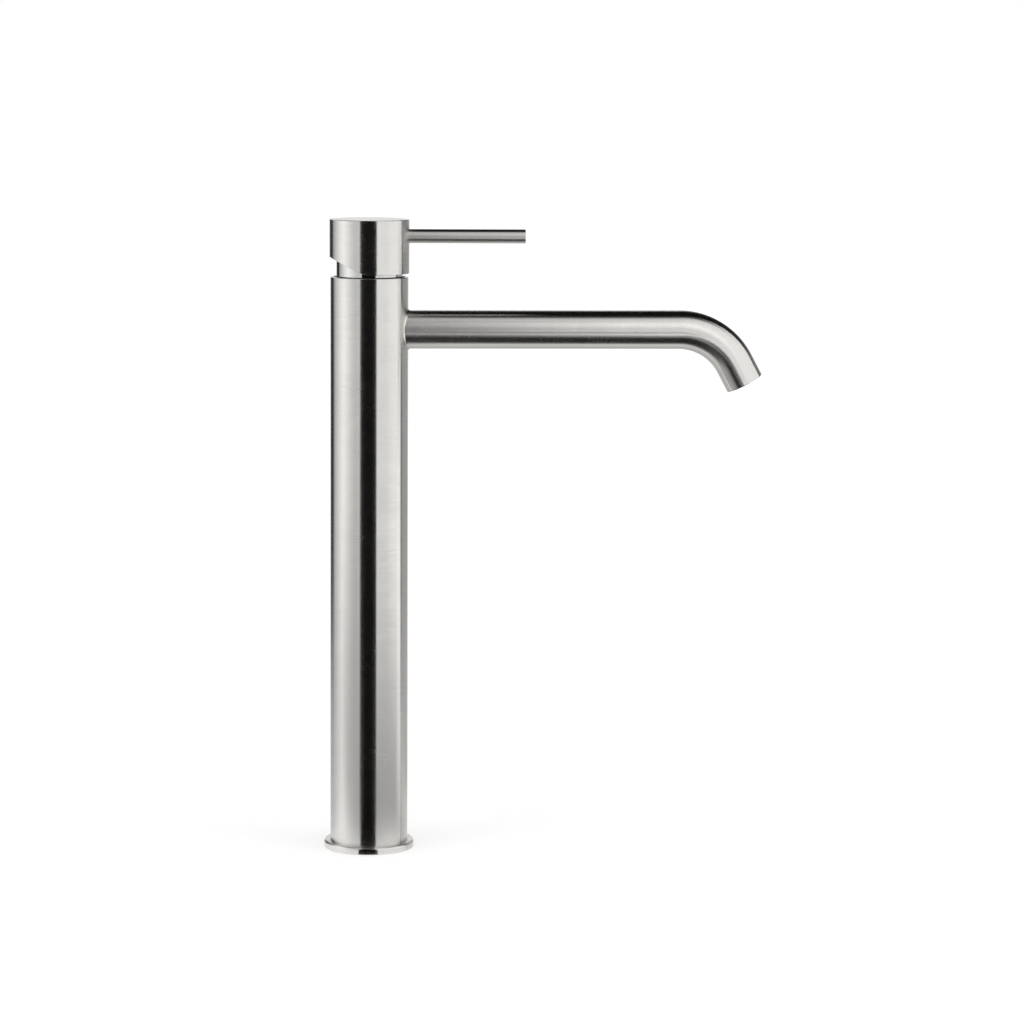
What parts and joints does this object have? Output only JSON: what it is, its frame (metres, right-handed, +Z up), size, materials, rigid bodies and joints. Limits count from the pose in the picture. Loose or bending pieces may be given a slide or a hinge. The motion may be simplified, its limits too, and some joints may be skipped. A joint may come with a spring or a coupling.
{
  "type": "tall single-lever basin mixer",
  "caption": "Tall single-lever basin mixer in brushed steel: round column on a flanged foot, tubular spout bent down at its end, and a round handle with a pin lever.",
  "frame": {"origin": "centre of the foot's underside, on the face that rests on the basin or worktop", "axes": "+Z up along the column, +X forward along the spout and the lever at rest, +Y to the hot side"},
  "size_m": [0.2482, 0.0514, 0.3589],
  "materials": {
    "brushed_steel": "fine brushed, satin",
    "polished_steel": "polished",
    "brass": "machined",
    "zinc": "die cast, satin",
    "copper": "drawn tube",
    "rubber": "matte",
    "ceramic": "lapped",
    "cartridge_plastic": "moulded",
    "aerator_plastic": "moulded",
    "screen_steel": "perforated sheet",
    "plain_steel": "turned"
  },
  "bodies": {
    "mixer_body": {"column_tube": "brushed_steel", "spout_tube": "brushed_steel", "base_flange": "brushed_steel", "trim_sleeve": "polished_steel", "base_plug": "brass", "valve_block": "brass", "clamp_nut": "brass", "outlet_bush": "brass", "hot_supply_tube": "copper", "cold_supply_tube": "copper", "base_gasket": "rubber", "flange_seal": "rubber", "upper_block_seal": "rubber", "lower_block_seal": "rubber", "hot_port_seal": "rubber", "cold_port_seal": "rubber", "outlet_port_seal": "rubber", "aerator_seal": "rubber", "fixed_disc": "ceramic", "cartridge_base": "cartridge_plastic", "cartridge_shell": "cartridge_plastic", "aerator_housing": "aerator_plastic", "flow_straightener": "aerator_plastic", "aerator_screen": "screen_steel"},
    "swivel": {"stem_swivel": "cartridge_plastic", "stem_pin": "plain_steel"},
    "handle": {"lever_stem": "plain_steel", "handle_cap": "brushed_steel", "handle_hub": "zinc", "hub_grub_screw": "plain_steel", "lever_rod": "brushed_steel"},
    "disc_slide": {"moving_disc": "ceramic", "disc_carrier": "cartridge_plastic"}
  },
  "joints": [
    {"name": "handle_turn", "type": "hinge", "parent": "mixer_body", "child": "swivel", "pos_m": [0, 0, 0.3356], "axis": [0, 0, 1], "range_deg": [-45, 45]},
    {"name": "handle_lift", "type": "hinge", "parent": "swivel", "child": "handle", "pos_m": [0, 0, 0.3356], "axis": [0, -1, 0], "range_deg": [0, 25]},
    {"name": "disc_travel", "type": "slide", "parent": "swivel", "child": "disc_slide", "axis": [1, 0, 0], "range_m": [0, 0.00381]}
  ],
  "couplings": [
    {"joint": "disc_travel", "follows": "handle_lift", "m_per_rad": 0.0087171}
  ]
}
